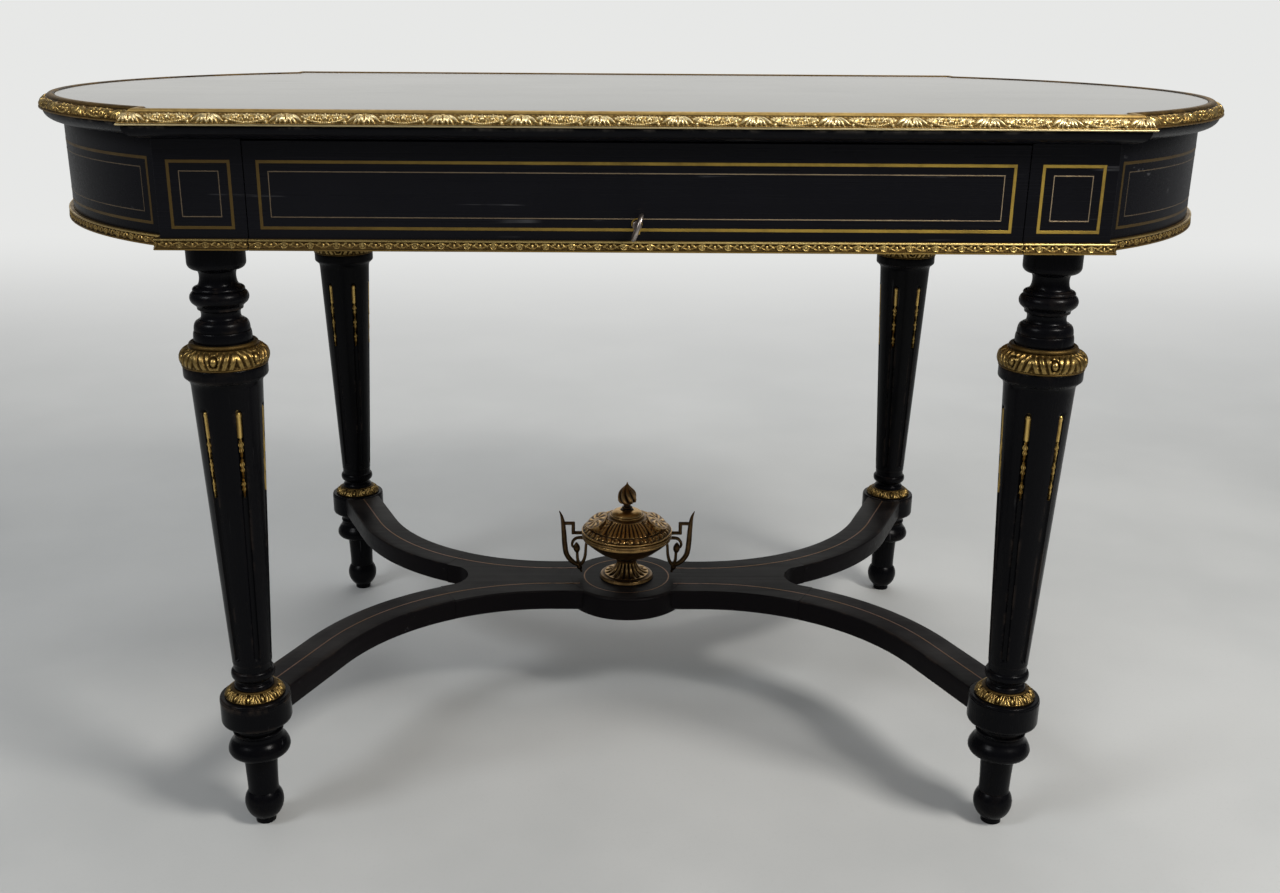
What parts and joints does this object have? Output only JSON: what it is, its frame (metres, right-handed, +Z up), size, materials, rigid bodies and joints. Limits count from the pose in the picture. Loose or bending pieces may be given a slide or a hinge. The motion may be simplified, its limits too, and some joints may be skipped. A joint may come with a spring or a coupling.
{
  "type": "centre table",
  "caption": "Ebonised centre table with rounded ends, gilt-brass mounts, a frieze drawer with lock and key, fluted turned legs and a forked stretcher that carries an urn.",
  "frame": {"origin": "on the floor under the middle of the table", "axes": "+Z up, +X along the table's length to the right as seen from the drawer side, the drawer side faces -Y"},
  "size_m": [1.242, 0.7307, 0.7305],
  "materials": {
    "ebonised_wood": "french-polished black lacquer",
    "drawer_wood": "plain planed oak",
    "gilt_brass": "cast and gilt, worn on its high points",
    "dark_gilt_bronze": "cast, dark old gilding",
    "lock_steel": "filed steel"
  },
  "bodies": {
    "table_frame": {"back_rail": "ebonised_wood", "base_moulding_back": "gilt_brass", "base_moulding_back_left": "gilt_brass", "base_moulding_back_right": "gilt_brass", "base_moulding_front_left": "gilt_brass", "base_moulding_front_right": "gilt_brass", "base_moulding_left_end": "gilt_brass", "base_moulding_right_end": "gilt_brass", "corner_block_back_left": "ebonised_wood", "corner_block_back_right": "ebonised_wood", "corner_block_front_left": "ebonised_wood", "corner_block_front_right": "ebonised_wood", "drawer_runner_left": "drawer_wood", "drawer_runner_right": "drawer_wood", "end_panel_left": "ebonised_wood", "end_panel_right": "ebonised_wood", "foot_back_left": "ebonised_wood", "foot_back_right": "ebonised_wood", "foot_front_left": "ebonised_wood", "foot_front_right": "ebonised_wood", "front_rail": "drawer_wood", "inner_rail_left": "drawer_wood", "inner_rail_right": "drawer_wood", "leg_back_left": "ebonised_wood", "leg_back_right": "ebonised_wood", "leg_front_left": "ebonised_wood", "leg_front_right": "ebonised_wood", "lower_collar_back_left": "gilt_brass", "lower_collar_back_right": "gilt_brass", "lower_collar_front_left": "gilt_brass", "lower_collar_front_right": "gilt_brass", "stretcher_arm_back_left": "ebonised_wood", "stretcher_arm_back_right": "ebonised_wood", "stretcher_arm_front_left": "ebonised_wood", "stretcher_arm_front_right": "ebonised_wood", "stretcher_centre": "ebonised_wood", "top_board": "ebonised_wood", "top_moulding_back": "gilt_brass", "top_moulding_front": "gilt_brass", "top_moulding_left_end": "gilt_brass", "top_moulding_right_end": "gilt_brass", "upper_collar_back_left": "gilt_brass", "upper_collar_back_right": "gilt_brass", "upper_collar_front_left": "gilt_brass", "upper_collar_front_right": "gilt_brass", "urn_bowl": "dark_gilt_bronze", "urn_finial": "dark_gilt_bronze", "urn_foot": "dark_gilt_bronze", "urn_handle_left": "dark_gilt_bronze", "urn_handle_right": "dark_gilt_bronze", "urn_lid": "dark_gilt_bronze"},
    "drawer": {"drawer_front": "ebonised_wood", "drawer_side_left": "drawer_wood", "drawer_side_right": "drawer_wood", "drawer_back": "drawer_wood", "drawer_bottom": "drawer_wood", "base_moulding_drawer": "gilt_brass", "lock_case": "lock_steel"},
    "lock_bolt": {"lock_bolt": "lock_steel"},
    "key": {"key": "lock_steel"}
  },
  "joints": [
    {"name": "drawer_slide", "type": "slide", "parent": "table_frame", "child": "drawer", "axis": [0, -1, 0], "range_m": [0, 0.4]},
    {"name": "key_turn", "type": "hinge", "parent": "drawer", "child": "key", "pos_m": [0, -0.337, 0.633], "axis": [0, 1, 0], "range_deg": [0, 180]},
    {"name": "lock_bolt_slide", "type": "slide", "parent": "drawer", "child": "lock_bolt", "axis": [0, 0, -1], "range_m": [0, 0.007]}
  ],
  "couplings": [
    {"joint": "lock_bolt_slide", "follows": "key_turn", "m_per_rad": 0.002228}
  ]
}
